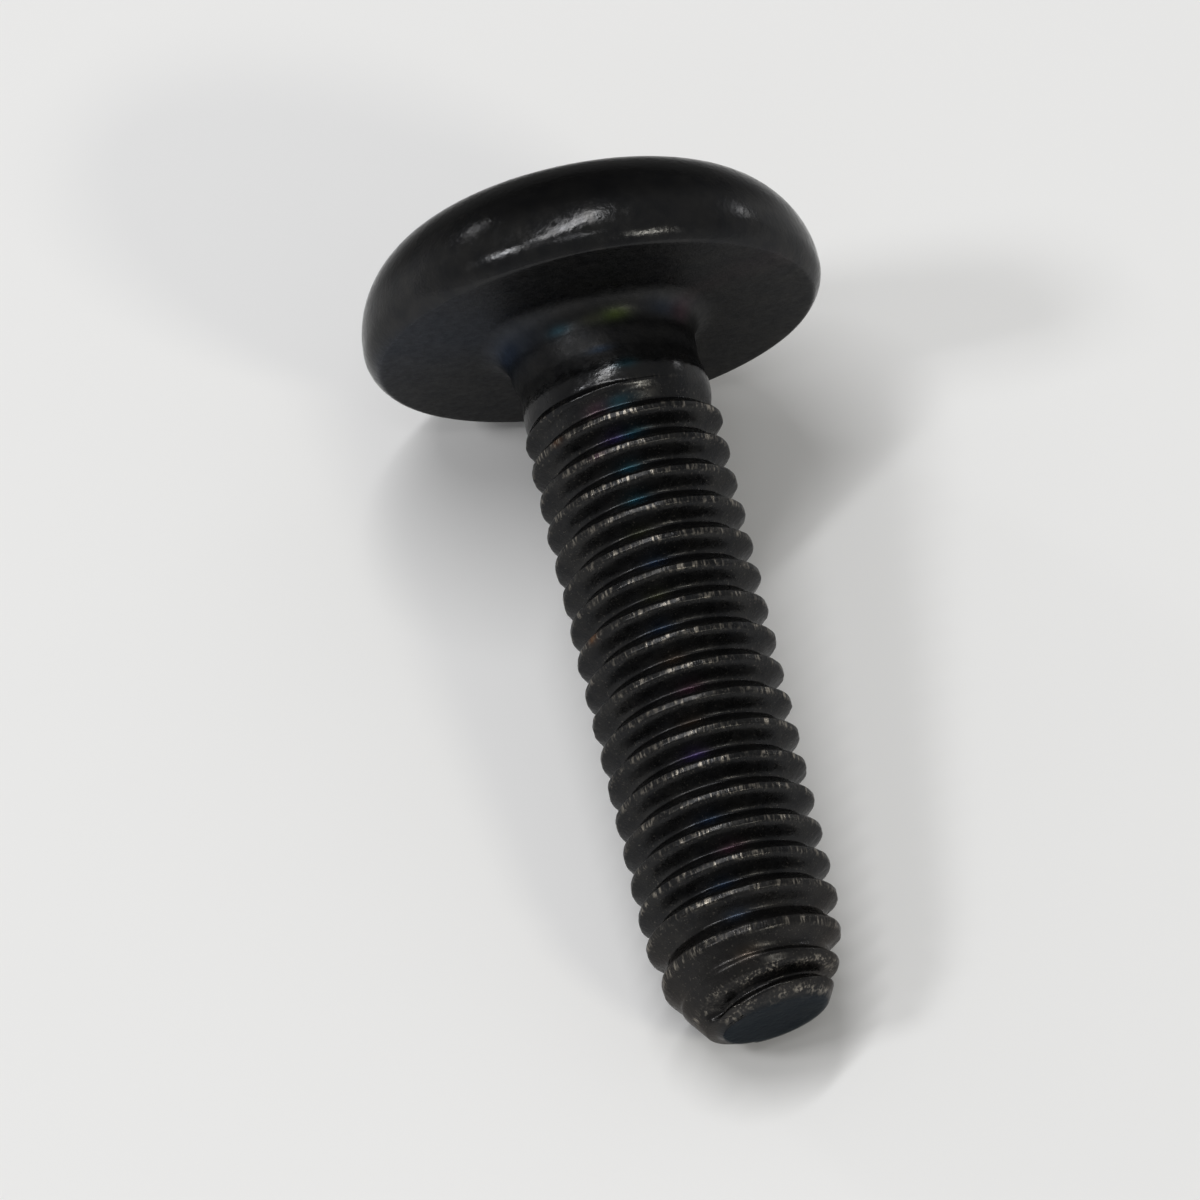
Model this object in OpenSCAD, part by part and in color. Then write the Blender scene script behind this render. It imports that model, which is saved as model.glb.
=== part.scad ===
// A truss-head machine screw with a coarse metric thread, formed as one piece of blackened steel.
// It lies on its side as it would on a table, on the rim of its head and the last crests of its thread.
// Sizes are in millimetres. +X runs along the length towards the head and +Z is up.

/* [Thread] */
// Nominal thread size, the diameter across the crests
thread_d = 4; // [3.5:0.1:4.5]
// Distance along the axis from one crest to the next
pitch = 0.7; // [0.5:0.05:0.8]
// How far the rolled crests stay under the nominal diameter
crest_drop = 0.05; // [0:0.01:0.12]
// Height of the thread ridge from root to crest, as a share of the pitch
ridge_share = 0.57; // [0.45:0.01:0.6]
// Width of the crest land, as a share of the pitch
crest_share = 0.13; // [0.08:0.01:0.16]
// Steps of the helix in each turn
turn_steps = 32; // [24:1:36]

/* [Shank] */
// Length from the bearing face to the thread's end
length = 15.2; // [10:0.1:20]
// Diameter of the plain neck between the head and the thread
neck_d = 3.8; // [3.6:0.05:3.85]
// Length of the plain neck under the bearing face
neck_l = 1.5; // [1:0.1:3]
// Radius of the fillet between the bearing face and the neck
fillet_r = 0.6; // [0.3:0.05:0.8]
// Length over which the thread groove rises out to the neck, in pitches
run_out = 1.3; // [0.8:0.1:2]
// Diameter of the flat end face
end_d = 2.25; // [2:0.05:3]
// Half angle of the cone that narrows the thread's end, in degrees
end_angle = 32; // [25:1:45]

/* [Head] */
// Diameter of the head at the widest part of its rim
head_d = 9.4; // [8:0.1:11]
// Height of the head from the bearing face to the crown
head_h = 2.7; // [2.4:0.05:3.2]
// Height of the widest part of the rim over the bearing face
rim_z = 0.5; // [0.4:0.05:0.6]
// Radius of the rim from its widest part up to the crown, less where the head is too low for it
rim_top_r = 2; // [1:0.05:2.2]
// Radius of the rim from its widest part down to the bearing face
rim_low_r = 0.65; // [0.6:0.05:1.2]

/* [Cross recess] */
// Width of the recess across its wings at the crown
recess_w = 4.3; // [3.5:0.1:5]
// Depth of the recess under the crown
recess_depth = 2; // [1.4:0.05:2.2]
// Thickness of a wing
wing_t = 0.95; // [0.7:0.05:1.3]
// Half angle of the taper of the wing ends, in degrees
wing_taper = 26.5; // [15:0.5:30]
// Diameter of the round core at the crown
core_d = 2.2; // [1.6:0.1:2.6]
// Half angle of the taper of the core, in degrees
core_taper = 8; // [3:1:12]

/* [Hidden] */
$fn = 96;

// steel with a black oxide coat
screw_color = [0.075, 0.078, 0.085];
// overlap that keeps two joined bodies from only touching
lap = 0.3;
// how far the metal under the run-out ends below the root
tuck = 0.08;
// share of the pitch over which the ridge fades at the head's end
fade_share = 0.6;
// larger than any part of the head's outline
reach = 20;

// radii of the thread, from the thread's form
crest_r = (thread_d - crest_drop) / 2;
ridge_h = ridge_share * pitch;
root_r = crest_r - ridge_h;
// both flanks lean this far from a plane square to the axis, in degrees
flank_angle = 30;
flank_share = ridge_share * tan(flank_angle);
root_share = 1 - crest_share - 2 * flank_share;
neck_r = neck_d / 2;
end_r = end_d / 2;

// the crown is an arc that runs smoothly into the rim's upper arc
rim_r = head_d / 2;
upper_r = min(rim_top_r, (head_h - rim_z) * 0.95);
crown_in = rim_r - upper_r;
crown_rise = head_h - rim_z - upper_r;
crown_angle = 2 * atan(crown_rise / crown_in);
crown_r = upper_r + crown_in / sin(crown_angle);
// the crown's arc and the rim's upper arc meet at this point of the outline
crown_end = [crown_r * sin(crown_angle), head_h - crown_r + crown_r * cos(crown_angle)];
// the rim's lower arc ends where it meets the bearing face
rim_low_in = rim_r - rim_low_r;
bearing_r = rim_low_in + sqrt(rim_low_r * rim_low_r - rim_z * rim_z);

// height of the crest next to the head on the side that faces the table, for a turn of the thread
function first_z(turn) = pitch * (turn / 360 - 1);
// the far edge of the last whole crest on that side, and the near edge of the next one
cone_l = (crest_r - end_r) / tan(end_angle);
function whole_z(first) =
    first - pitch * (floor((length - cone_l + first) / pitch - crest_share / 2) + crest_share / 2);
function next_z(first) = whole_z(first) - pitch * (1 - crest_share);
// the cone cuts that next crest, and meets its near flank at this radius
flank_by_cone = tan(flank_angle) * tan(end_angle);
function cut_r(z) =
    let (cone_r = end_r + (z + length) * tan(end_angle))
        max(root_r, min(crest_r, (cone_r + crest_r * flank_by_cone) / (1 + flank_by_cone)));
// lean of the axis when the rim and a crest of radius r at height z touch the table
function lean_on(r, z) =
    let (across = rim_low_in - r, along = rim_z - z)
        atan(across / along) + asin(rim_low_r / norm([across, along]));
// the whole crest or the cut one touches first
function lean_at(turn) =
    let (near = next_z(first_z(turn)), r = cut_r(near))
        min(lean_on(crest_r, whole_z(first_z(turn))), lean_on(r, near + (crest_r - r) * tan(flank_angle)));

// the screw rolls until it leans most, which is where it lies lowest and both crests touch
least_turn = -179;
leans = [for (turn = [least_turn:least_turn + 359]) lean_at(turn)];
lean = max(leans);
thread_turn = least_turn + search(lean, leans)[0];
first_crest_z = first_z(thread_turn);
rest_h = rim_low_in * cos(lean) - rim_z * sin(lean) + rim_low_r;
// ends of the lying screw along X, from the middle of its bearing face
far_x = lean < crown_angle
    ? (head_h - crown_r) * cos(lean) + crown_r
    : crown_in * sin(lean) + rim_z * cos(lean) + upper_r;
near_x = -length * cos(lean) - end_r * sin(lean);

// the helix runs in rows of points, 4 to a turn: two for the crest land, then two for the root
turns = floor((length + first_crest_z) / pitch + fade_share / 2) + 3;
rows = 4 * turns;
row_share = [-crest_share / 2, crest_share / 2, 0.5 - root_share / 2, 0.5 + root_share / 2];
rod_z = first_crest_z - pitch * (turns - 1);

// share of a turn at a step around the axis, with a flat between two steps facing the table
function turn_share(j) = (j + 0.5) / turn_steps;
// height of a row of the helix at a step around the axis
function helix_z(i, j) = rod_z + pitch * (floor(i / 4) + row_share[i % 4] + turn_share(j));
// the ridge sinks back into the neck at the head's end
function ridge_at(z) = max(0, min(1, (-z - neck_l) / (pitch * fade_share)));
function helix_r(i, j) = i % 4 < 2 ? root_r + ridge_h * ridge_at(helix_z(i, j)) : root_r;
function helix_point(i, j) =
    let (a = 360 * turn_share(j), r = helix_r(i, j)) [r * cos(a), r * sin(a), helix_z(i, j)];
// number of a point, where the step after the last in a turn is the first of the next turn
function at(i, j) = j == turn_steps ? (i + 4) * turn_steps : i * turn_steps + j;

// threaded rod with a little more at both ends than is needed
module thread_rod() {
    side = [for (i = [0:rows - 1]) for (j = [0:turn_steps - 1]) helix_point(i, j)];
    low = len(side);
    points = concat(side, [[0, 0, helix_z(0, turn_steps / 2)], [0, 0, helix_z(rows - 3, turn_steps / 2)]]);
    walls = [
        for (i = [0:rows - 2])
            for (j = [0:turn_steps - 1])
                if (j < turn_steps - 1 || i < rows - 5)
                    for (k = [0:1])
                        k == 0 ? [at(i, j), at(i + 1, j + 1), at(i, j + 1)] : [at(i, j), at(i + 1, j), at(i + 1, j + 1)]
    ];
    low_edge = concat([for (j = [0:turn_steps - 1]) at(0, j)], [for (i = [4:-1:1]) at(i, 0)]);
    top_edge = concat(
        [for (j = [0:turn_steps - 1]) at(rows - 1, j)],
        [for (i = [2:5]) at(rows - i, turn_steps - 1)]
    );
    low_cap = [for (i = [0:len(low_edge) - 1]) [low, low_edge[i], low_edge[(i + 1) % len(low_edge)]]];
    top_cap = [for (i = [0:len(top_edge) - 1]) [low + 1, top_edge[(i + 1) % len(top_edge)], top_edge[i]]];
    polyhedron(points = points, faces = concat(walls, low_cap, top_cap));
}

// room inside which the thread keeps its metal: the end face and the cone
module thread_room() {
    wide_r = crest_r + lap;
    rotate_extrude() polygon([
        [0, -length],
        [end_r, -length],
        [wide_r, -length + (wide_r - end_r) / tan(end_angle)],
        [wide_r, lap],
        [0, lap]
    ]);
}

// slice of a round disc between two directions, measured in degrees from +Y
module disc_slice(middle, r, from, to) {
    half = (from + to) / 2;
    translate(middle) intersection() {
        circle(r);
        polygon([[0, 0], reach * [sin(from), cos(from)], reach * [sin(half), cos(half)],
            reach * [sin(to), cos(to)]]);
    }
}

// right half of the head's outline: a low crown, a round rim and a flat bearing face
module head_outline() {
    polygon([
        [0, 0],
        [bearing_r, 0],
        [rim_low_in, rim_z],
        [crown_in, rim_z],
        crown_end,
        [0, crown_end[1]]
    ]);
    disc_slice([rim_low_in, rim_z], rim_low_r, 90, 90 + asin(rim_z / rim_low_r));
    disc_slice([crown_in, rim_z], upper_r, crown_angle, 90);
    intersection() {
        translate([0, head_h - crown_r]) circle(crown_r);
        translate([0, crown_end[1]]) square([crown_end[0], head_h]);
    }
}

// right half of the neck's outline, with the metal under the run-out
module neck_outline() {
    polygon([
        [0, 0],
        [neck_r, 0],
        [neck_r, -neck_l],
        [root_r - tuck, -neck_l - run_out * pitch],
        [0, -neck_l - run_out * pitch]
    ]);
    difference() {
        translate([0, -fillet_r]) square([neck_r + fillet_r, fillet_r]);
        translate([neck_r + fillet_r, -fillet_r]) circle(fillet_r);
    }
}

// solid head with its bearing face, fillet, neck and the metal under the run-out
// its seam is turned to the top, away from the rim's line of contact
module head_and_neck() {
    rotate([0, 0, 180]) rotate_extrude() {
        head_outline();
        neck_outline();
    }
}

// cross-shaped socket for the driver, cut down from the crown
module cross_recess() {
    wing_depth = recess_depth * 0.9;
    core_depth = recess_depth * 0.8;
    wing_r = recess_w / 2;
    core_r = core_d / 2;
    core_low_r = core_r - core_depth * tan(core_taper);
    translate([0, 0, head_h]) {
        intersection() {
            translate([0, 0, -wing_depth])
                cylinder(h = wing_depth + lap, r1 = wing_r - wing_depth * tan(wing_taper),
                    r2 = wing_r + lap * tan(wing_taper));
            union() {
                cube([recess_w * 2, wing_t, recess_depth * 4], center = true);
                cube([wing_t, recess_w * 2, recess_depth * 4], center = true);
            }
        }
        rotate_extrude() polygon([
            [0, -recess_depth],
            [core_low_r, -core_depth],
            [core_r + lap * tan(core_taper), lap],
            [0, lap]
        ]);
    }
}

module screw() {
    color(screw_color)
        difference() {
            union() {
                head_and_neck();
                intersection() {
                    thread_rod();
                    thread_room();
                }
            }
            cross_recess();
        }
}

// the screw is drawn upright with its bearing face at 0, then laid on the table
module laid() {
    translate([-(far_x + near_x) / 2, 0, rest_h]) rotate([0, 90 - lean, 0]) children();
}

laid() screw();
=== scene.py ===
from math import asin, atan, ceil, cos, degrees, floor, hypot, pi, radians, sin, sqrt, tan

import bpy
import numpy as np
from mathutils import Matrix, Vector


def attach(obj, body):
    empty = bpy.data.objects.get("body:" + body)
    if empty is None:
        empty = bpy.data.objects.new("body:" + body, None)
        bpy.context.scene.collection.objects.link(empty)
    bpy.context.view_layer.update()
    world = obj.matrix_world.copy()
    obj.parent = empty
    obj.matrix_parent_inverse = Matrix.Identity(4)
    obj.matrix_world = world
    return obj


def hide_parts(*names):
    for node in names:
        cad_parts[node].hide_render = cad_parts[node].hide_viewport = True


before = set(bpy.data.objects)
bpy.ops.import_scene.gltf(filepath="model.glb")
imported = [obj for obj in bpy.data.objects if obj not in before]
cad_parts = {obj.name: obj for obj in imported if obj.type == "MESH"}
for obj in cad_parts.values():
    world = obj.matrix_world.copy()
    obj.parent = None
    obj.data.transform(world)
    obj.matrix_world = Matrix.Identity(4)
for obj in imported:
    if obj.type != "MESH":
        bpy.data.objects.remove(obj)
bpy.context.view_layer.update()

MM = 0.001

# Thread
THREAD_D = 4.0
PITCH = 0.7
CREST_DROP = 0.05
RIDGE_SHARE = 0.57
CREST_SHARE = 0.13

# Shank
LENGTH = 15.2
NECK_D = 3.8
NECK_L = 1.5
FILLET_R = 0.6
END_D = 2.25
END_ANGLE = 32.0

# Head
HEAD_D = 9.4
HEAD_H = 2.7
RIM_Z = 0.5
RIM_TOP_R = 2.0
RIM_LOW_R = 0.65

# Cross recess
RECESS_W = 4.3
RECESS_DEPTH = 2.0
WING_T = 0.95
WING_TAPER = 26.5
CORE_D = 2.2
CORE_TAPER = 8.0

# Radii that follow from the sizes
CREST_R = (THREAD_D - CREST_DROP) / 2
RIDGE_H = RIDGE_SHARE * PITCH
ROOT_R = CREST_R - RIDGE_H
FLANK_ANGLE = radians(30)
FLANK_SHARE = RIDGE_SHARE * tan(FLANK_ANGLE)
ROOT_SHARE = 1 - CREST_SHARE - 2 * FLANK_SHARE
NECK_R = NECK_D / 2
END_R = END_D / 2
RIM_R = HEAD_D / 2
CROWN_IN = RIM_R - RIM_TOP_R
CROWN_ANGLE = 2 * atan((HEAD_H - RIM_Z - RIM_TOP_R) / CROWN_IN)
CROWN_R = RIM_TOP_R + CROWN_IN / sin(CROWN_ANGLE)
RIM_LOW_IN = RIM_R - RIM_LOW_R
BEARING_R = RIM_LOW_IN + sqrt(RIM_LOW_R**2 - RIM_Z**2)
CONE_L = (CREST_R - END_R) / tan(radians(END_ANGLE))

# Mesh steps: the columns around the axis, and the rows of a turn, in turns to each side of its crest
COLUMNS = 144
ANGLES = np.arange(COLUMNS) * 2 * pi / COLUMNS
CREST_ROWS = [-0.09, -0.06, -0.03, 0.0, 0.03, 0.06, 0.09]
FLANK_ROWS = [0.14, 0.2, 0.265, 0.33]
ROOT_ROWS = [0.38, 0.42, 0.46, 0.5]


def lean_on(r, z):
    """Lean of the axis when the rim and a crest of radius r at height z touch the table."""
    across, along = RIM_LOW_IN - r, RIM_Z - z
    return atan(across / along) + asin(RIM_LOW_R / hypot(across, along))


def lean_at(turn):
    """Lean for a turn of the thread: the last whole crest or the one that the cone cuts touches first."""
    first = PITCH * (turn / 360 - 1)
    whole_z = first - PITCH * (floor((LENGTH - CONE_L + first) / PITCH - CREST_SHARE / 2) + CREST_SHARE / 2)
    next_z = whole_z - PITCH * (1 - CREST_SHARE)
    cone_r = END_R + (next_z + LENGTH) * tan(radians(END_ANGLE))
    product = tan(FLANK_ANGLE) * tan(radians(END_ANGLE))
    cut_r = max(ROOT_R, min(CREST_R, (cone_r + CREST_R * product) / (1 + product)))
    cut_z = next_z + (CREST_R - cut_r) * tan(FLANK_ANGLE)
    return min(lean_on(CREST_R, whole_z), lean_on(cut_r, cut_z))


# The screw rolls until it leans most, which is where it lies lowest
THREAD_TURN = max(range(-179, 181), key=lean_at)
LEAN = lean_at(THREAD_TURN)
FIRST_CREST_Z = PITCH * (THREAD_TURN / 360 - 1)

# The lying screw's height, its ends and its directions in the row's frame
REST_H = RIM_LOW_IN * cos(LEAN) - RIM_Z * sin(LEAN) + RIM_LOW_R
FAR_X = CROWN_IN * sin(LEAN) + RIM_Z * cos(LEAN) + RIM_TOP_R
NEAR_X = -LENGTH * cos(LEAN) - END_R * sin(LEAN)
FACE_AT = np.array([-(FAR_X + NEAR_X) / 2, 0, REST_H])
AXIS = np.array([cos(LEAN), 0, sin(LEAN)])
DOWN = np.array([sin(LEAN), 0, -cos(LEAN)])
SIDE = np.array([0, 1, 0])


def laid(points):
    """Points of the screw's own frame in millimetres, as metres in the row's frame."""
    lying = FACE_AT
    for k, direction in enumerate((DOWN, SIDE, AXIS)):
        lying = lying + np.outer(points[:, k], direction)
    return lying * MM


def soft_noise(points, size, seed):
    """Smooth noise, with features of about the size given."""
    side, shift = 32, 100.5
    lattice = np.random.RandomState(seed).rand(side, side, side) * 2 - 1
    place = points / size + shift
    cell = np.floor(place).astype(int)
    share = ease(place - cell)
    total = np.zeros(len(points))
    for steps in np.ndindex(2, 2, 2):
        weight = np.ones(len(points))
        for k, step in enumerate(steps):
            weight = weight * (share[:, k] if step else 1 - share[:, k])
        corner = (cell + steps) % side
        total += weight * lattice[corner[:, 0], corner[:, 1], corner[:, 2]]
    return total


def ease(x):
    """Smooth step from 0 to 1."""
    x = np.clip(x, 0, 1)
    return x * x * (3 - 2 * x)


def bump_at(value, middle, reach):
    """1 at the middle, falling softly with the distance."""
    return np.exp(-(((value - middle) / reach) ** 2))


def within(angle, start, end, edge):
    """1 between two angles in degrees, with soft edges, and 0 elsewhere."""
    turn = np.degrees(angle) % 360
    return ease((turn - start) / edge + 0.5) * ease((end - turn) / edge + 0.5)


def soft_min(a, b, width):
    """The smaller of two values, with a round corner where they cross."""
    blend = np.clip(0.5 + 0.5 * (b - a) / width, 0, 1)
    return b + (a - b) * blend - width * blend * (1 - blend)


def soft_max(a, b, width):
    """The larger of two values, with a round corner where they cross."""
    return -soft_min(-a, -b, width)


def cylinder_points(r, angle, z):
    """Points around the axis with these radii, angles and heights."""
    return np.stack([r * np.cos(angle), r * np.sin(angle), z], axis=-1)


def turns_at(z, angle):
    """Turns along the thread: whole numbers are crests, and halves are roots."""
    return (z - FIRST_CREST_Z) / PITCH - angle / (2 * pi)


# How the rolled thread differs from the plain one
ROOT_ROUND = 0.18
CREST_ROUND = 0.05
ROOT_FILL = 0.07
FLANK_GROW = 0.035
CREST_GROW = 0.018

# The unevenness of the crests: its height, and the size and seed of its waves and of the finer ripples
CREST_WAVE = 0.018
WAVE_SIZE, WAVE_SEED = 0.45, 3
RIPPLE_SIZE, RIPPLE_SEED = 0.17, 5
RIPPLE_SHARE = 0.6

# The neck: a waist under the fillet and a soft shoulder over the thread
WAIST_R, WAIST_Z = 1.85, -1.05
SHOULDER_BULGE_R, SHOULDER_BULGE_Z = 1.91, -1.6
NECK_BLEND = 0.04

# The run-out under the head: heights over which the ridge rises and the groove deepens
RIDGE_FROM, RIDGE_TO = -1.35, -2.15
GROOVE_FROM, GROOVE_TO = -1.7, -2.85

# The direction to the left in the photograph, as an angle around the axis
LEFT = 82.7

# The thread's end, where the last turn slips towards the end and loses height
SLIP = 0.18
SLIP_FROM, SLIP_TO = -13.2, -14.4
SLIP_PASSES = 8
LAST_DROP = 0.13
DROP_FROM, DROP_TO = -13.1, -13.9
ROOT_DROP = 0.17
ROOT_DROP_TO = -14.1

# The cone that closes the thread, a little skewed
SHOULDER_Z = -15.0
SHOULDER_R = 1.33
SHOULDER_SLOPE = 0.6
SHOULDER_SKEW = 0.06

# The nub at the end: the flats of its face, its chamfer, and the corner that it makes with the cone
NUB_R = 1.08
NUB_FLAT = 0.2
NUB_LOW_FLAT = 0.06
NUB_CHAMFER = 1.8
NUB_OUT = 0.02
NUB_WAVE, NUB_WAVE_SIZE, NUB_WAVE_SEED = 0.02, 0.5, 8
END_CORNER = 0.05
EDGE_RISE = 0.004

# The step that laps over the nub on one side: the angles where it starts and ends, and its soft edges
STEP_ANGLES = (20, 138, 10)
STEP_IN = 0.12
STEP_Z = -15.05
STEP_SLOPE = 7.0

# The groove under the lapped turn, and the worn band of the nub beside it
GROOVE_ANGLES = (112, 335, 16)
END_GROOVE_TURN = -20.22
END_GROOVE_REACH = 0.31
END_GROOVE_DEPTH = 0.3
NUB_Z = -15.1
NUB_REACH = 0.06

# The end sits a little to the right of the shank, and slants
END_SHIFT = 0.17
END_TILT = 0.11
END_SHIFT_L, END_SHIFT_EASE = 1.3, 1.2

# The head sits a little askew on its shank, as the photograph shows; the angles are in degrees
HEAD_TILT = 1.52
HEAD_TILT_ABOUT = -33.4
HEAD_SHIFT = 0.044
SHANK_SHIFT = 0.018
HEAD_PIVOT_Z = 0.115
BEND_FROM, BEND_TO = -1.5, -0.3


def slipped(z):
    """Where the slip of the last turn moves a height of the plain helix."""
    return z - SLIP * ease((SLIP_FROM - z) / (SLIP_FROM - SLIP_TO))


def unslipped(z):
    """The height of the plain helix that the slip moves to z, found in a few passes."""
    plain = z
    for _ in range(SLIP_PASSES):
        plain = z + SLIP * ease((SLIP_FROM - plain) / (SLIP_FROM - SLIP_TO))
    return plain


def nub_radius(angle):
    """Radius of the end face, flatter on the side that faces up."""
    low = np.cos(angle - radians(LEFT - 90))
    return NUB_R - np.where(low < 0, NUB_FLAT, NUB_LOW_FLAT) * low**2


def end_radius(z, angle, turns):
    """Radius that the end of the screw allows: a cone, then a chamfered nub with a step on one side."""
    skew = SHOULDER_SKEW * np.cos(angle - radians(LEFT))
    cone = SHOULDER_R + skew + (z - SHOULDER_Z) * SHOULDER_SLOPE
    chamfer = nub_radius(angle) + NUB_OUT + (z + LENGTH) * NUB_CHAMFER
    step = np.maximum(chamfer - STEP_IN, chamfer + (z - STEP_Z) * STEP_SLOPE)
    lapped = within(angle, *STEP_ANGLES)
    nub = chamfer * (1 - lapped) + step * lapped
    groove = ease(1 - np.abs(turns - END_GROOVE_TURN) / END_GROOVE_REACH) * within(angle, *GROOVE_ANGLES)
    return soft_min(cone, nub, END_CORNER) - END_GROOVE_DEPTH * groove


def neck_radius(z):
    """Radius of the neck between the fillet and the shoulder."""
    waist = NECK_R + (WAIST_R - NECK_R) * ease((-FILLET_R - z) / (-FILLET_R - WAIST_Z))
    return waist + (SHOULDER_BULGE_R - WAIST_R) * ease((WAIST_Z - z) / (WAIST_Z - SHOULDER_BULGE_Z))


def crest_wave(z, angle):
    """Waves and ripples of the rolled metal along the crests."""
    points = cylinder_points(CREST_R, angle, z).reshape(-1, 3)
    waves = soft_noise(points, WAVE_SIZE, WAVE_SEED).reshape(z.shape)
    ripples = soft_noise(points, RIPPLE_SIZE, RIPPLE_SEED).reshape(z.shape)
    return waves + RIPPLE_SHARE * ripples


def thread_radius(z, angle):
    """Radius of the shank's skin, with round roots and crests, the run-out and the lapped end."""
    turns = turns_at(unslipped(z), angle)
    off = np.abs(turns - np.round(turns))
    climb = RIDGE_H * (0.5 - ROOT_SHARE / 2 + FLANK_GROW - off) / FLANK_SHARE
    ridge = soft_min(soft_max(climb, np.zeros_like(z), ROOT_ROUND), np.full_like(z, RIDGE_H), CREST_ROUND)
    share = ridge / RIDGE_H
    ridge = ridge + CREST_WAVE * crest_wave(z, angle) * share * share
    rise = ease((RIDGE_FROM - z) / (RIDGE_FROM - RIDGE_TO))
    drop = LAST_DROP * share * ease((DROP_FROM - z) / (DROP_FROM - DROP_TO))
    right = np.maximum(0, -np.cos(angle - radians(LEFT)))
    drop = drop + ROOT_DROP * (1 - share) * right * ease((DROP_FROM - z) / (DROP_FROM - ROOT_DROP_TO))
    radius = ROOT_R + ROOT_FILL + ridge * (1 + (CREST_GROW - ROOT_FILL) / RIDGE_H) * rise - drop
    filled = ROOT_R + (SHOULDER_BULGE_R - ROOT_R) * (1 - ease((GROOVE_FROM - z) / (GROOVE_FROM - GROOVE_TO)))
    radius = soft_max(radius, np.minimum(filled, neck_radius(z)), NECK_BLEND)
    return soft_min(radius, end_radius(z, angle, turns), END_CORNER)


def bent(points):
    """The head's slight tilt and the end's shift, as small moves of the points."""
    about = radians(HEAD_TILT_ABOUT)
    turn = radians(HEAD_TILT) * np.array([cos(about), sin(about), 0])
    share = ease((points[:, 2] - BEND_FROM) / (BEND_TO - BEND_FROM))
    arm = points - np.array([0, 0, HEAD_PIVOT_Z])
    left = np.array([cos(radians(LEFT)), sin(radians(LEFT)), 0])
    moved = points + share[:, None] * (np.cross(turn, arm) + HEAD_SHIFT * left)
    near_end = ease((-LENGTH + END_SHIFT_L - points[:, 2]) / END_SHIFT_EASE)[:, None]
    shift = (near_end * END_SHIFT + SHANK_SHIFT * (1 - share[:, None])) * -left
    tilt = near_end * np.array([0, 0, -END_TILT]) * (points @ left)[:, None]
    return moved + shift + tilt


# Tints of the oxide films, as shares of the plain oxide's red, green and blue
PINK = (1.9, 1.2, 1.5)
VIOLET = (1.3, 1.0, 2.2)
CYAN = (0.7, 1.6, 2.0)
BLUE = (0.8, 1.1, 1.6)
SLATE = (0.95, 1.1, 1.4)
ROSE = (1.5, 1.15, 1.25)
GREEN = (1.8, 2.4, 0.8)
OLIVE = (1.2, 1.25, 0.9)
BROWN = (1.4, 1.15, 0.95)
COPPER = (2.6, 1.5, 1.0)

# Films in the roots of the thread: the turn, the angle in degrees of the middle, and the tint
ROOT_FILMS = [
    (-2.5, 160, PINK),
    (-2.5, 174, CYAN),
    (-3.5, 166, VIOLET),
    (-3.5, 179, CYAN),
    (-4.5, 170, CYAN),
    (-5.5, 170, CYAN),
    (-6.5, 165, OLIVE),
    (-7.5, 172, BLUE),
    (-8.5, 168, OLIVE),
    (-9.5, 165, BLUE),
    (-10.5, 170, BROWN),
    (-11.5, 176, PINK),
    (-12.5, 170, BROWN),
    (-13.5, 168, VIOLET),
    (-15.5, 166, BLUE),
    (-16.5, 178, PINK),
    (-17.5, 165, BLUE),
    (-18.5, 170, BLUE),
    (-19.5, 170, BROWN),
]
ROOT_FILM_REACH = 0.17
ROOT_FILM_ANGLE = 9

# Films on the neck: height, angle, the reach of each, and the tint
NECK_FILMS = [
    (-0.42, 185, 0.12, 9, GREEN),
    (-0.42, 172, 0.1, 7, OLIVE),
    (-0.45, 149, 0.1, 7, CYAN),
    (-0.3, 219, 0.15, 12, SLATE),
    (-0.3, 233, 0.2, 8, ROSE),
    (-0.35, 112, 0.3, 30, SLATE),
    (-1.09, 171, 0.07, 8, BLUE),
    (-1.5, 184, 0.1, 6, CYAN),
]

# Spots on the crests: the turn, the angle and the tint
CREST_SPOTS = [(-3, 130, COPPER), (-4, 154, PINK), (-9, 121, COPPER)]
SPOT_REACH = 0.09
SPOT_ANGLE = 4

# The last turns are brownish, down to the edge of the end face, which has a tint of its own
BROWN_END = 0.12
BROWN_FROM, BROWN_TO = -17, -19
END_FACE = (0.72, 0.76, 0.8)
FACE_EDGE_H = 0.05
FACE_EDGE_EASE = 0.04

# Thicker, darker oxide on the thread, and painted shade on the neck under the head and on the part of the
# rim and the crown that faces up
THREAD_SHADE = 0.86
# Painted shade on the neck under the head: its strength, then the heights and easings of its band
NECK_PAINTED_SHADE = 0.66
NECK_SHADE_FROM, NECK_SHADE_TO = -0.1, -1.4
NECK_SHADE_EASE, NECK_SHADE_END_EASE = 0.2, 0.25
# Painted shade on the part of the rim and the crown that faces up
RIM_PAINTED_SHADE = 0.4
RIM_SHADE_FROM, RIM_SHADE_TO = 0.7, 1.3
RIM_SHADE_REACH = 62


def laid_on(tints, share, tint):
    """The tints with another one over them, as strong as its share at each point."""
    return tints + share[:, None] * (np.array(tint) - tints)


def oxide_tone_and_painted_shade(z, degrees_at, threaded):
    """How much light each point keeps under the thread's thicker oxide and under the painted shade on the
    neck and on the rim and crown that face up.
    """
    # Painted shade on the neck under the head
    neck = ease((NECK_SHADE_FROM - z) / NECK_SHADE_EASE) * ease((z - NECK_SHADE_TO) / NECK_SHADE_END_EASE)
    # Painted shade on the rim and the crown where they face up
    up = bump_at(degrees_at - LEFT - 90, 0, RIM_SHADE_REACH)
    rim = up * ease((z - RIM_SHADE_FROM) / (RIM_SHADE_TO - RIM_SHADE_FROM))
    shade = (1 - (1 - NECK_PAINTED_SHADE) * neck) * (1 - (1 - RIM_PAINTED_SHADE) * rim)
    return shade * (1 - (1 - THREAD_SHADE) * threaded)


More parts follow.
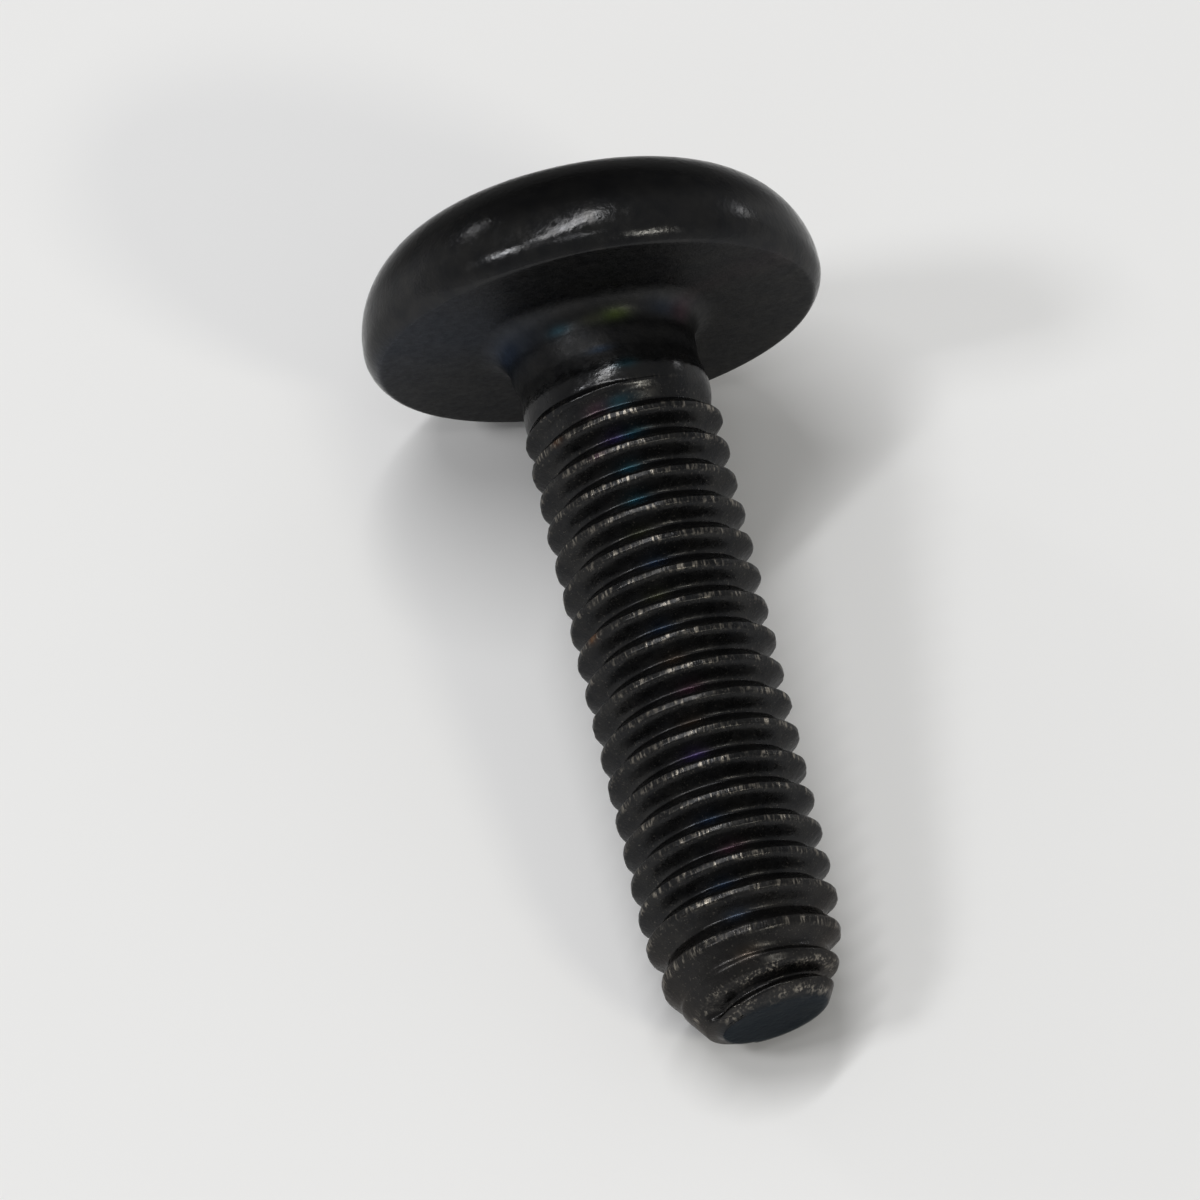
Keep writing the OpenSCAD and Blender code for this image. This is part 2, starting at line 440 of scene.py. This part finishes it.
def film_tints_and_painted_shade(own, turns, angle, threaded):
    """Tint of the oxide at each point: the films, the spots, the thread's darker oxide and the painted
    shade.
    """
    degrees_at, z = np.degrees(angle), own[:, 2]
    tints = np.ones_like(own)
    for turn, middle, tint in ROOT_FILMS:
        share = bump_at(turns, turn, ROOT_FILM_REACH) * bump_at(degrees_at, middle, ROOT_FILM_ANGLE)
        tints = laid_on(tints, share, tint)
    for turn, middle, tint in CREST_SPOTS:
        share = bump_at(turns, turn, SPOT_REACH) * bump_at(degrees_at, middle, SPOT_ANGLE)
        tints = laid_on(tints, share, tint)
    for height, middle, reach, reach_angle, tint in NECK_FILMS:
        share = bump_at(z, height, reach) * bump_at(degrees_at, middle, reach_angle)
        tints = laid_on(tints, share, tint)
    last_turns = ease((turns - BROWN_FROM) / (BROWN_TO - BROWN_FROM))
    above_face = ease((z + LENGTH - FACE_EDGE_H) / (2 * FACE_EDGE_H))
    tints = laid_on(tints, BROWN_END * last_turns * above_face, BROWN)
    tints = laid_on(tints, ease((-LENGTH + FACE_EDGE_H - z) / FACE_EDGE_EASE), END_FACE)
    return tints * oxide_tone_and_painted_shade(z, degrees_at, threaded)[:, None]


class Skin:
    """Points and faces of the mesh as they are gathered, in the screw's own frame."""

    def __init__(self):
        self.points = []
        self.faces = []
        self.count = 0

    def add(self, points):
        """Adds points and returns their numbers in the same arrangement."""
        flat = np.asarray(points).reshape(-1, 3)
        numbers = np.arange(self.count, self.count + len(flat)).reshape(np.asarray(points).shape[:-1])
        self.points.append(flat)
        self.count += len(flat)
        return numbers

    def bridge(self, low, high):
        """Faces between two rows of numbers; equal neighbours become triangles or nothing."""
        for a, b, c, d in zip(low[:-1], low[1:], high[1:], high[:-1]):
            corners = [a, b, c, d]
            kept = [p for k, p in enumerate(corners) if p != corners[k - 1]]
            if len(set(kept)) == len(kept) and len(kept) > 2:
                self.faces.append(kept)

    def ring(self, r, z):
        """A closed row of points around the axis, with its first point repeated at the end."""
        numbers = self.add(cylinder_points(r + 0 * ANGLES, ANGLES, z + 0 * ANGLES))
        return np.append(numbers, numbers[0])

    def cap(self, numbers):
        """One face with the points of these numbers as its corners."""
        self.faces.append([int(number) for number in numbers])


# The grid of the shank starts this far over the end's shoulder, and a row this near to a ring joins it
GRID_LIFT = 0.08
RING_SNAP = 0.012


def thread_rows(skin, low_z, top_z):
    """The helical grid of the shank between two rings, which it returns."""
    shares = [-x for x in reversed(FLANK_ROWS + ROOT_ROWS[:-1])] + CREST_ROWS + FLANK_ROWS + ROOT_ROWS
    lowest = floor((low_z - FIRST_CREST_Z) / PITCH) - 1
    highest = ceil((top_z - FIRST_CREST_Z) / PITCH) + 1
    rows = np.array([n + share for n in range(lowest, highest) for share in shares])
    z = slipped(FIRST_CREST_Z + PITCH * (rows[:, None] + ANGLES[None, :] / (2 * pi)))
    angles = ANGLES[None, :] + 0 * z
    under, over = z < low_z + RING_SNAP, z > top_z - RING_SNAP
    z = np.clip(np.where(under, low_z, np.where(over, top_z, z)), low_z, top_z)
    grid = cylinder_points(thread_radius(z, angles), angles, z)
    numbers = np.full(z.shape, -1)
    free = ~(under | over)
    numbers[free] = skin.add(grid[free])
    low_ring = skin.ring(thread_radius(low_z + 0 * ANGLES, ANGLES), low_z)
    top_ring = skin.ring(thread_radius(top_z + 0 * ANGLES, ANGLES), top_z)
    numbers = np.where(under, low_ring[None, :-1], numbers)
    numbers = np.where(over, top_ring[None, :-1], numbers)
    last = len(rows) - 1
    for i in range(last):
        # A row ends where the row of the next turn starts
        ends = [numbers[min(k + len(shares), last), 0] for k in (i, i + 1)]
        skin.bridge(np.append(numbers[i], ends[0]), np.append(numbers[i + 1], ends[1]))
    return low_ring, top_ring


# Rings on the stretches of the head
NECK_RINGS = 6
FILLET_STEPS = 14
FACE_RINGS = 14
RIM_LOW_STEPS = 12
RIM_TOP_STEPS = 22
CROWN_STEPS = 5

# The soft outer edge of the bearing face: where it starts, its first rise and its first angle on the rim
BEARING_EDGE_IN = 0.05
BEARING_RISE_IN, BEARING_RISE = 0.015, 0.006
RIM_START = 3

# Gap between the crown's last ring and the wings
CROWN_GAP = 0.12


def arc(centre, r, start, end, steps):
    """Points of an arc in the half plane, with angles in degrees from the radial direction."""
    angles = np.radians(np.linspace(start, end, steps + 1))
    return [(centre[0] + r * cos(a), centre[1] + r * sin(a)) for a in angles]


def head_outline():
    """Radius and height of each ring from the neck up over the rim to the edge of the recess."""
    rows = [(neck_radius(z), z) for z in np.linspace(WAIST_Z, -FILLET_R, NECK_RINGS)[1:-1]]
    rows += arc((NECK_R + FILLET_R, -FILLET_R), FILLET_R, 180, 90, FILLET_STEPS)
    rows += [(r, 0.0) for r in np.linspace(NECK_R + FILLET_R, BEARING_R, FACE_RINGS)[1:-1]]
    rows += [(BEARING_R - BEARING_EDGE_IN, 0.0), (BEARING_R - BEARING_RISE_IN, BEARING_RISE)]
    edge = degrees(asin(RIM_Z / RIM_LOW_R))
    rows += arc((RIM_LOW_IN, RIM_Z), RIM_LOW_R, RIM_START - edge, 0, RIM_LOW_STEPS)
    top = 90 - degrees(CROWN_ANGLE)
    rows += arc((CROWN_IN, RIM_Z), RIM_TOP_R, 0, top, RIM_TOP_STEPS)[1:]
    inner = degrees(asin((RECESS_W / 2 + CROWN_GAP) / CROWN_R))
    rows += arc((0, HEAD_H - CROWN_R), CROWN_R, top, 90 - inner, CROWN_STEPS)[1:]
    return rows


def crown_z(r):
    """Height of the crown at a radius."""
    return HEAD_H - CROWN_R + np.sqrt(CROWN_R**2 - r**2)


# Points on each stretch of a row around the cross
WING_END_STEPS = 8
WING_SIDE_STEPS = 8
CORE_STEPS = 12

# The round mouth of the recess: how far each row flares out, and how far it sinks under the crown
MOUTH = [(0.085, 0.0), (0.055, 0.008), (0.03, 0.022), (0.012, 0.045), (0.0, 0.08)]

# Depths of the core's and the wings' floors, and the shares of the core's depth at which a row lies
CORE_DEPTH = RECESS_DEPTH * 0.8
WING_DEPTH = RECESS_DEPTH * 0.9
WALL_SHARES = (0.15, 0.3, 0.5, 0.7, 0.88, 1.0)

# The floor between the wings: its size and its drop as shares of the core's radius there
FLOOR_SHARE = 0.9
FLOOR_REACH = 0.93
FLOOR_DROP = 0.05

# The last rings of the pointed bottom: the first is half as wide as the core
POINT_SHARE = 0.5
POINT_RINGS = [(0.12, RECESS_DEPTH * 0.985), (0.03, RECESS_DEPTH)]


def cross_row(wing_r, half_t, core_r, z):
    """One closed row around the cross: wing ends, wing sides and the arcs of the core between them."""
    end_a, core_a = asin(half_t / wing_r), asin(half_t / core_r)
    out, inn = wing_r * cos(end_a), core_r * cos(core_a)
    end_angles = np.linspace(-end_a, end_a, WING_END_STEPS, endpoint=False)
    core_angles = np.linspace(core_a, pi / 2 - core_a, CORE_STEPS, endpoint=False)
    quarter = [(wing_r * cos(a), wing_r * sin(a)) for a in end_angles]
    quarter += [(x, half_t) for x in np.linspace(out, inn, WING_SIDE_STEPS, endpoint=False)]
    quarter += [(core_r * cos(a), core_r * sin(a)) for a in core_angles]
    quarter += [(half_t, y) for y in np.linspace(inn, out, WING_SIDE_STEPS, endpoint=False)]
    turns = [(1, 0), (0, 1), (-1, 0), (0, -1)]
    points = [(x * c - y * s, x * s + y * c, z) for c, s in turns for x, y in quarter]
    return np.roll(np.array(points), -WING_END_STEPS // 2, axis=0)


def recess_rows():
    """Rows of points from the crown down the walls of the recess to its pointed bottom."""
    rows = []
    for flare, sink in MOUTH:
        row = cross_row(RECESS_W / 2 + flare, WING_T / 2 + flare, CORE_D / 2 + flare, 0.0)
        row[:, 2] = crown_z(np.hypot(row[:, 0], row[:, 1])) - sink
        rows.append(row)
    for share in WALL_SHARES:
        depth = CORE_DEPTH * share
        wing_r = RECESS_W / 2 - depth * tan(radians(WING_TAPER))
        core_r = CORE_D / 2 - depth * tan(radians(CORE_TAPER))
        rows.append(cross_row(wing_r, WING_T / 2, core_r, HEAD_H - depth))
    low_wing = RECESS_W / 2 - WING_DEPTH * tan(radians(WING_TAPER))
    low_core = CORE_D / 2 - CORE_DEPTH * tan(radians(CORE_TAPER))
    bottom = cross_row(low_wing, WING_T / 2, low_core * FLOOR_SHARE, HEAD_H - WING_DEPTH)
    core_part = np.hypot(bottom[:, 0], bottom[:, 1]) < low_core * FLOOR_REACH
    bottom[core_part, 2] = HEAD_H - CORE_DEPTH - FLOOR_DROP * low_core
    rows.append(bottom)
    angles = np.arctan2(bottom[:, 1], bottom[:, 0])
    for r, depth in [(low_core * POINT_SHARE, WING_DEPTH)] + POINT_RINGS:
        rows.append(cylinder_points(r, angles, HEAD_H - depth + 0 * angles))
    return rows


# Rings from the shank's grid to the end face: their number, and the height of the last one
END_RINGS = 12
LAST_RING_Z = -LENGTH + 0.02

# Rings of the end face as shares of its radius; only the first is lifted, as its soft edge
FACE_SHARES = (0.97, 0.93, 0.83, 0.65, 0.46, 0.28, 0.1)


def add_end(skin, below):
    """The end of the screw, from a ring of the shank down to the middle of the end face."""
    for z in np.linspace(SHOULDER_Z + GRID_LIFT, LAST_RING_Z, END_RINGS + 1)[1:]:
        ring = skin.ring(thread_radius(z + 0 * ANGLES, ANGLES), z)
        skin.bridge(ring, below)
        below = ring
    wave = soft_noise(cylinder_points(NUB_R, ANGLES, 0 * ANGLES), NUB_WAVE_SIZE, NUB_WAVE_SEED)
    for share in FACE_SHARES:
        rise = EDGE_RISE if share == FACE_SHARES[0] else 0
        ring = skin.ring(share * (nub_radius(ANGLES) + NUB_WAVE * wave), -LENGTH + rise)
        skin.bridge(ring, below)
        below = ring
    skin.cap(below[:-1][::-1])


def add_head(skin, above):
    """The neck and the head, from a ring of the shank up over the rim and down into the recess."""
    for r, z in head_outline():
        ring = skin.ring(r, z)
        skin.bridge(above, ring)
        above = ring
    for row in recess_rows():
        numbers = skin.add(row)
        closed = np.append(numbers, numbers[0])
        skin.bridge(above, closed)
        above = closed
    skin.cap(above[:-1])


def screw_skin():
    """The whole skin of the screw, from the middle of the end face to the bottom of the recess."""
    skin = Skin()
    low_ring, top_ring = thread_rows(skin, SHOULDER_Z + GRID_LIFT, WAIST_Z)
    add_end(skin, low_ring)
    add_head(skin, top_ring)
    return skin


# The part that wears like thread: how far under the neck it starts, how softly, and where it ends
THREADED_GAP, THREADED_EASE = 0.25, 0.4
THREADED_END = 0.1

# The worn line of a crest, in turns to each side of it
CREST_HALF, CREST_EASE = 0.05, 0.08

# The matt neck and underside of the head, which end a little past the edge of the bearing face
MATT_EASE = 0.3
MATT_PAST, MATT_EDGE_EASE = 0.04, 0.1


def surface_values(own):
    """What the material needs to know at each point, by name."""
    z = own[:, 2]
    angle = np.arctan2(own[:, 1], own[:, 0]) % (2 * pi)
    turns = turns_at(unslipped(z), angle)
    off = np.abs(turns - np.round(turns))
    threaded = ease((-z - NECK_L - THREADED_GAP) / THREADED_EASE)
    threaded = threaded * ease((z + LENGTH - THREADED_END) / THREADED_END)
    nub = bump_at(z, NUB_Z, NUB_REACH) * within(angle, *GROOVE_ANGLES)
    crest = np.maximum(threaded * ease(1 - (off - CREST_HALF) / CREST_EASE), nub)
    matt = ease((z + NECK_L) / MATT_EASE) * (z < RIM_Z)
    matt = matt * ease((BEARING_R + MATT_PAST - np.hypot(own[:, 0], own[:, 1])) / MATT_EDGE_EASE)
    # The oxide's tints, with the thread's darker oxide and the painted shade of the neck and the upward rim
    tint_and_painted_shade = film_tints_and_painted_shade(own, turns, angle, threaded)
    return {"own_mm": own, "crest": crest, "threaded": threaded, "matt": matt, "tint_and_painted_shade": tint_and_painted_shade}


def screw_object():
    """The screw's skin as an object, with the values that its material reads."""
    skin = screw_skin()
    own = np.concatenate(skin.points)
    mesh = bpy.data.meshes.new("screw_skin")
    mesh.from_pydata(laid(bent(own)).tolist(), [], skin.faces)
    mesh.validate()
    mesh.shade_smooth()
    for name, values in surface_values(own).items():
        kind, key = ("FLOAT_VECTOR", "vector") if values.ndim == 2 else ("FLOAT", "value")
        attribute = mesh.attributes.new(name, kind, "POINT")
        attribute.data.foreach_set(key, values.astype(np.float32).ravel())
    piece = bpy.data.objects.new("screw_skin", mesh)
    bpy.context.collection.objects.link(piece)
    return piece


class Nodes:
    """A short way to write the nodes of a material or of the world."""

    def __init__(self, tree):
        self.tree = tree

    def add(self, kind, inputs=None, **settings):
        node = self.tree.nodes.new("ShaderNode" + kind)
        for key, value in settings.items():
            setattr(node, key, value)
        for key, value in (inputs or {}).items():
            self.set(node, key, value)
        return node

    def set(self, node, key, value):
        if isinstance(value, bpy.types.NodeSocket):
            self.tree.links.new(value, node.inputs[key])
        else:
            node.inputs[key].default_value = value

    def attribute(self, name, output):
        return self.add("Attribute", attribute_name=name).outputs[output]

    def scaled(self, vector, scale):
        return self.add("VectorMath", {0: vector, 1: scale}, operation="MULTIPLY").outputs[0]

    def noise(self, vector, scale, detail=2.0, rough=0.5):
        node = self.add("TexNoise", {"Vector": vector, "Scale": scale, "Detail": detail, "Roughness": rough})
        return node.outputs["Fac"]

    def spread(self, value, low, high, out_low=0.0, out_high=1.0, **settings):
        """The value moved from one range to another, and kept in it."""
        ends = {"From Min": low, "From Max": high, "To Min": out_low, "To Max": out_high}
        return self.add("MapRange", {"Value": value, **ends}, **settings).outputs["Result"]

    def math(self, operation, a, b):
        return self.add("Math", {0: a, 1: b}, operation=operation).outputs[0]

    def product(self, a, b):
        return self.math("MULTIPLY", a, b)

    def plus(self, a, b):
        return self.math("ADD", a, b)

    def mix(self, share, a, b):
        """The colour a, or b where the share is 1."""
        node = self.add("Mix", data_type="RGBA")
        places = {socket.name: place for place, socket in enumerate(node.inputs) if socket.enabled}
        for key, value in (("Factor", share), ("A", a), ("B", b)):
            self.set(node, places[key], value)
        return [socket for socket in node.outputs if socket.enabled][0]


def new_material(name):
    """A new material, its nodes and its shader."""
    material = bpy.data.materials.new(name)
    material.use_nodes = True
    nodes = Nodes(material.node_tree)
    return material, nodes, material.node_tree.nodes["Principled BSDF"]


# Black oxide, where it is thin, and bare worn steel
OXIDE = (0.024, 0.0245, 0.026, 1)
OXIDE_THIN = (0.036, 0.0355, 0.035, 1)
WORN = (0.23, 0.21, 0.18, 1)
METALLIC = 0.88
EDGE_TINT = 0.6

# Features to a millimetre, of each kind of noise; ticks are the short marks across the crests
PATCHES = 1.7
SMEARS = 5.0
DENTS = 7.0
GRAIN = 16.0
BREAKS = 3.2
SPECKS = 20.0
TICKS = (14.0, 14.0, 3.0)

# The noise values between which each effect comes in, and how weak or strong it gets
THIN_RANGE = (0.35, 0.7)
SMEAR_RANGE = (0.35, 0.65)
TICK_RANGE = (0.5, 0.62)
BREAK_RANGE = (0.44, 0.58)
SPECK_RANGE = (0.64, 0.72)
BREAK_LEAST = 0.1
SPECK_MOST = 0.3

# Roughness from the smooth to the dull smears, and what the thread, the crests and the matt parts add
SMOOTH, DULL = 0.11, 0.26
THREAD_ROUGH = 0.11
CREST_ROUGH = 0.02
MATT_ROUGH = 0.24

# Heights of the unevenness in millimetres
GRAIN_H = 0.003
DENT_H = 0.006
TICK_H = 0.012


def worn_spots(nodes, own, crest, threaded, ticks):
    """Where the oxide is rubbed through: broken spots along the crests, and faint specks on the thread."""
    broken = nodes.spread(nodes.noise(own, BREAKS), *BREAK_RANGE, BREAK_LEAST, 1.0)
    rubbed = nodes.product(nodes.product(nodes.spread(ticks, *TICK_RANGE), broken), crest)
    specks = nodes.product(nodes.spread(nodes.noise(own, SPECKS), *SPECK_RANGE), threaded)
    return rubbed, nodes.product(specks, SPECK_MOST)


def oxide_material():
    """Black oxide on rolled steel: dark, slightly grainy, rubbed bright in broken spots along the crests."""
    material, nodes, shader = new_material("black_oxide")
    own = nodes.attribute("own_mm", "Vector")
    crest = nodes.attribute("crest", "Fac")
    threaded = nodes.attribute("threaded", "Fac")
    matt = nodes.attribute("matt", "Fac")
    # The oxide's film tints, with the thread's darker oxide and the painted shade of the neck and the upward
    # rim
    tint_and_painted_shade = nodes.attribute("tint_and_painted_shade", "Vector")
    ticks = nodes.noise(nodes.scaled(own, TICKS), 1.0, 2.0, 0.6)
    rubbed, specks = worn_spots(nodes, own, crest, threaded, ticks)
    thin = nodes.spread(nodes.noise(own, PATCHES, 3.0, 0.6), *THIN_RANGE)
    colour = nodes.scaled(nodes.mix(thin, OXIDE, OXIDE_THIN), tint_and_painted_shade)
    colour = nodes.mix(rubbed, colour, WORN)
    colour = nodes.mix(specks, colour, WORN)
    rough = nodes.spread(nodes.noise(own, SMEARS, 4.0, 0.65), *SMEAR_RANGE, SMOOTH, DULL)
    for where, more in ((threaded, THREAD_ROUGH), (crest, CREST_ROUGH), (matt, MATT_ROUGH)):
        rough = nodes.plus(rough, nodes.product(where, more))
    height = nodes.product(nodes.noise(own, GRAIN, 3.0, 0.6), GRAIN_H)
    height = nodes.plus(height, nodes.product(nodes.product(ticks, crest), TICK_H))
    height = nodes.plus(height, nodes.product(nodes.noise(own, DENTS), DENT_H))
    bump = nodes.add("Bump", {"Height": height, "Strength": 1.0, "Distance": MM})
    nodes.set(shader, "Base Color", colour)
    nodes.set(shader, "Metallic", METALLIC)
    nodes.set(shader, "Roughness", rough)
    nodes.set(shader, "Normal", bump.outputs["Normal"])
    nodes.set(shader, "Specular Tint", nodes.scaled(tint_and_painted_shade, (EDGE_TINT, EDGE_TINT, EDGE_TINT)))
    return material


# The table: half its side in metres, its surface, and the faint clouds in it to a metre
TABLE_HALF = 2.5
TABLE_DARK = (0.84, 0.84, 0.84, 1)
TABLE_LIGHT = (0.87, 0.87, 0.87, 1)
TABLE_ROUGH = 0.6
TABLE_GLOSS = 0.2
CLOUDS = 60.0


def table_material():
    """A pale, plain and almost matt surface."""
    material, nodes, shader = new_material("table")
    cloud = nodes.noise(nodes.add("TexCoord").outputs["Object"], CLOUDS, 3.0)
    nodes.set(shader, "Base Color", nodes.mix(cloud, TABLE_DARK, TABLE_LIGHT))
    nodes.set(shader, "Roughness", TABLE_ROUGH)
    nodes.set(shader, "Specular IOR Level", TABLE_GLOSS)
    return material


def add_table():
    mesh = bpy.data.meshes.new("table_top")
    corners = [(x * TABLE_HALF, y * TABLE_HALF, 0) for x, y in ((-1, -1), (1, -1), (1, 1), (-1, 1))]
    mesh.from_pydata(corners, [], [(0, 1, 2, 3)])
    mesh.materials.append(table_material())
    table = bpy.data.objects.new("table_top", mesh)
    bpy.context.collection.objects.link(table)


# Camera: the photograph's direction, and a long lens from far away
CAMERA_ELEVATION = 57.10996
CAMERA_TURN = -12.74963
CAMERA_DISTANCE = 400.0
CAMERA_TARGET = (1.6589, 0.9768, 1.5630)
CAMERA_LENS = 594.481


def camera_axes():
    """The camera's directions to the right, up and back, in the row's frame."""
    e, t = radians(CAMERA_ELEVATION), radians(CAMERA_TURN)
    ahead = np.array([cos(e) * cos(t), cos(e) * sin(t), -sin(e)])
    right = np.array([sin(t), -cos(t), 0])
    return right, np.cross(right, ahead), -ahead


def add_aimed(name, data, place, ahead):
    """A lamp or a camera at a place in metres that looks ahead."""
    thing = bpy.data.objects.new(name, data)
    thing.location = place
    thing.rotation_euler = Vector(ahead).to_track_quat("-Z", "Y").to_euler()
    bpy.context.collection.objects.link(thing)
    return thing


def add_camera():
    back = camera_axes()[2]
    data = bpy.data.cameras.new("photo_camera")
    data.lens = CAMERA_LENS
    data.sensor_width = 36
    data.clip_start = 0.01
    place = (np.array(CAMERA_TARGET) + back * CAMERA_DISTANCE) * MM
    bpy.context.scene.camera = add_aimed("photo_camera", data, place, -back)


# Lamps: their distance in metres, and for each its direction as the camera sees it (right, up and back),
# its width and height as angles in degrees, its brightness and its colour
LAMP_DISTANCE = 0.5
WHITE = (1, 1, 1)
WARM = (1, 0.97, 0.86)
LAMPS = [
    ("window_above", (-0.21, 0.67, 0.71), 38, 3.2, 30, WHITE),
    ("window_left", (-0.631, 0.182, 0.754), 9, 9, 28, WHITE),
    ("window_right", (0.568, -0.13, 0.81), 11, 5, 27, WARM),
    ("window_far_left", (-0.715, 0.699, -0.031), 7, 2.5, 26, WHITE),
    ("window_far_right", (0.771, 0.602, -0.211), 7, 2.5, 11, WHITE),
    ("window_near", (-0.05, 0.2, 0.98), 16, 5, 5, WHITE),
]


def add_lamp(name, direction, width, height, brightness, colour):
    """A soft oblong lamp that faces the screw."""
    right, up, back = camera_axes()
    towards = np.array(direction[0] * right + direction[1] * up + direction[2] * back)
    towards = towards / np.linalg.norm(towards)
    data = bpy.data.lights.new(name, "AREA")
    data.shape = "RECTANGLE"
    data.size = 2 * LAMP_DISTANCE * tan(radians(width / 2))
    data.size_y = 2 * LAMP_DISTANCE * tan(radians(height / 2))
    data.energy = brightness * pi * data.size * data.size_y
    data.color = colour
    add_aimed(name, data, towards * LAMP_DISTANCE, -towards)


# The surround: its strength overhead, what the horizon adds at the sides and the ends, and where that fades
SKY_TOP = 0.38
SKY_SIDES = 0.32
SKY_ENDS = 0.18
SKY_LOW, SKY_HIGH = 0.02, 0.5


def add_world():
    """A plain surround: dim overhead, brighter along the horizon and most of all at the sides."""
    world = bpy.data.worlds.new("studio")
    bpy.context.scene.world = world
    world.use_nodes = True
    world.node_tree.nodes.clear()
    nodes = Nodes(world.node_tree)
    parts = nodes.add("SeparateXYZ", {0: nodes.add("TexCoord").outputs["Generated"]})
    low = nodes.spread(parts.outputs["Z"], SKY_LOW, SKY_HIGH, 1.0, 0.0, interpolation_type="SMOOTHSTEP")
    sideways = nodes.product(parts.outputs["Y"], parts.outputs["Y"])
    horizon = nodes.plus(nodes.product(sideways, SKY_SIDES - SKY_ENDS), SKY_ENDS)
    strength = nodes.plus(nodes.product(horizon, low), SKY_TOP)
    background = nodes.add("Background", {"Strength": strength})
    nodes.add("OutputWorld", {"Surface": background.outputs[0]})


bpy.context.scene.view_settings.view_transform = "Standard"

screw = screw_object()
screw.data.materials.append(oxide_material())
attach(screw, "root")
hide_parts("screw")

add_table()
add_world()
for lamp in LAMPS:
    add_lamp(*lamp)
add_camera()
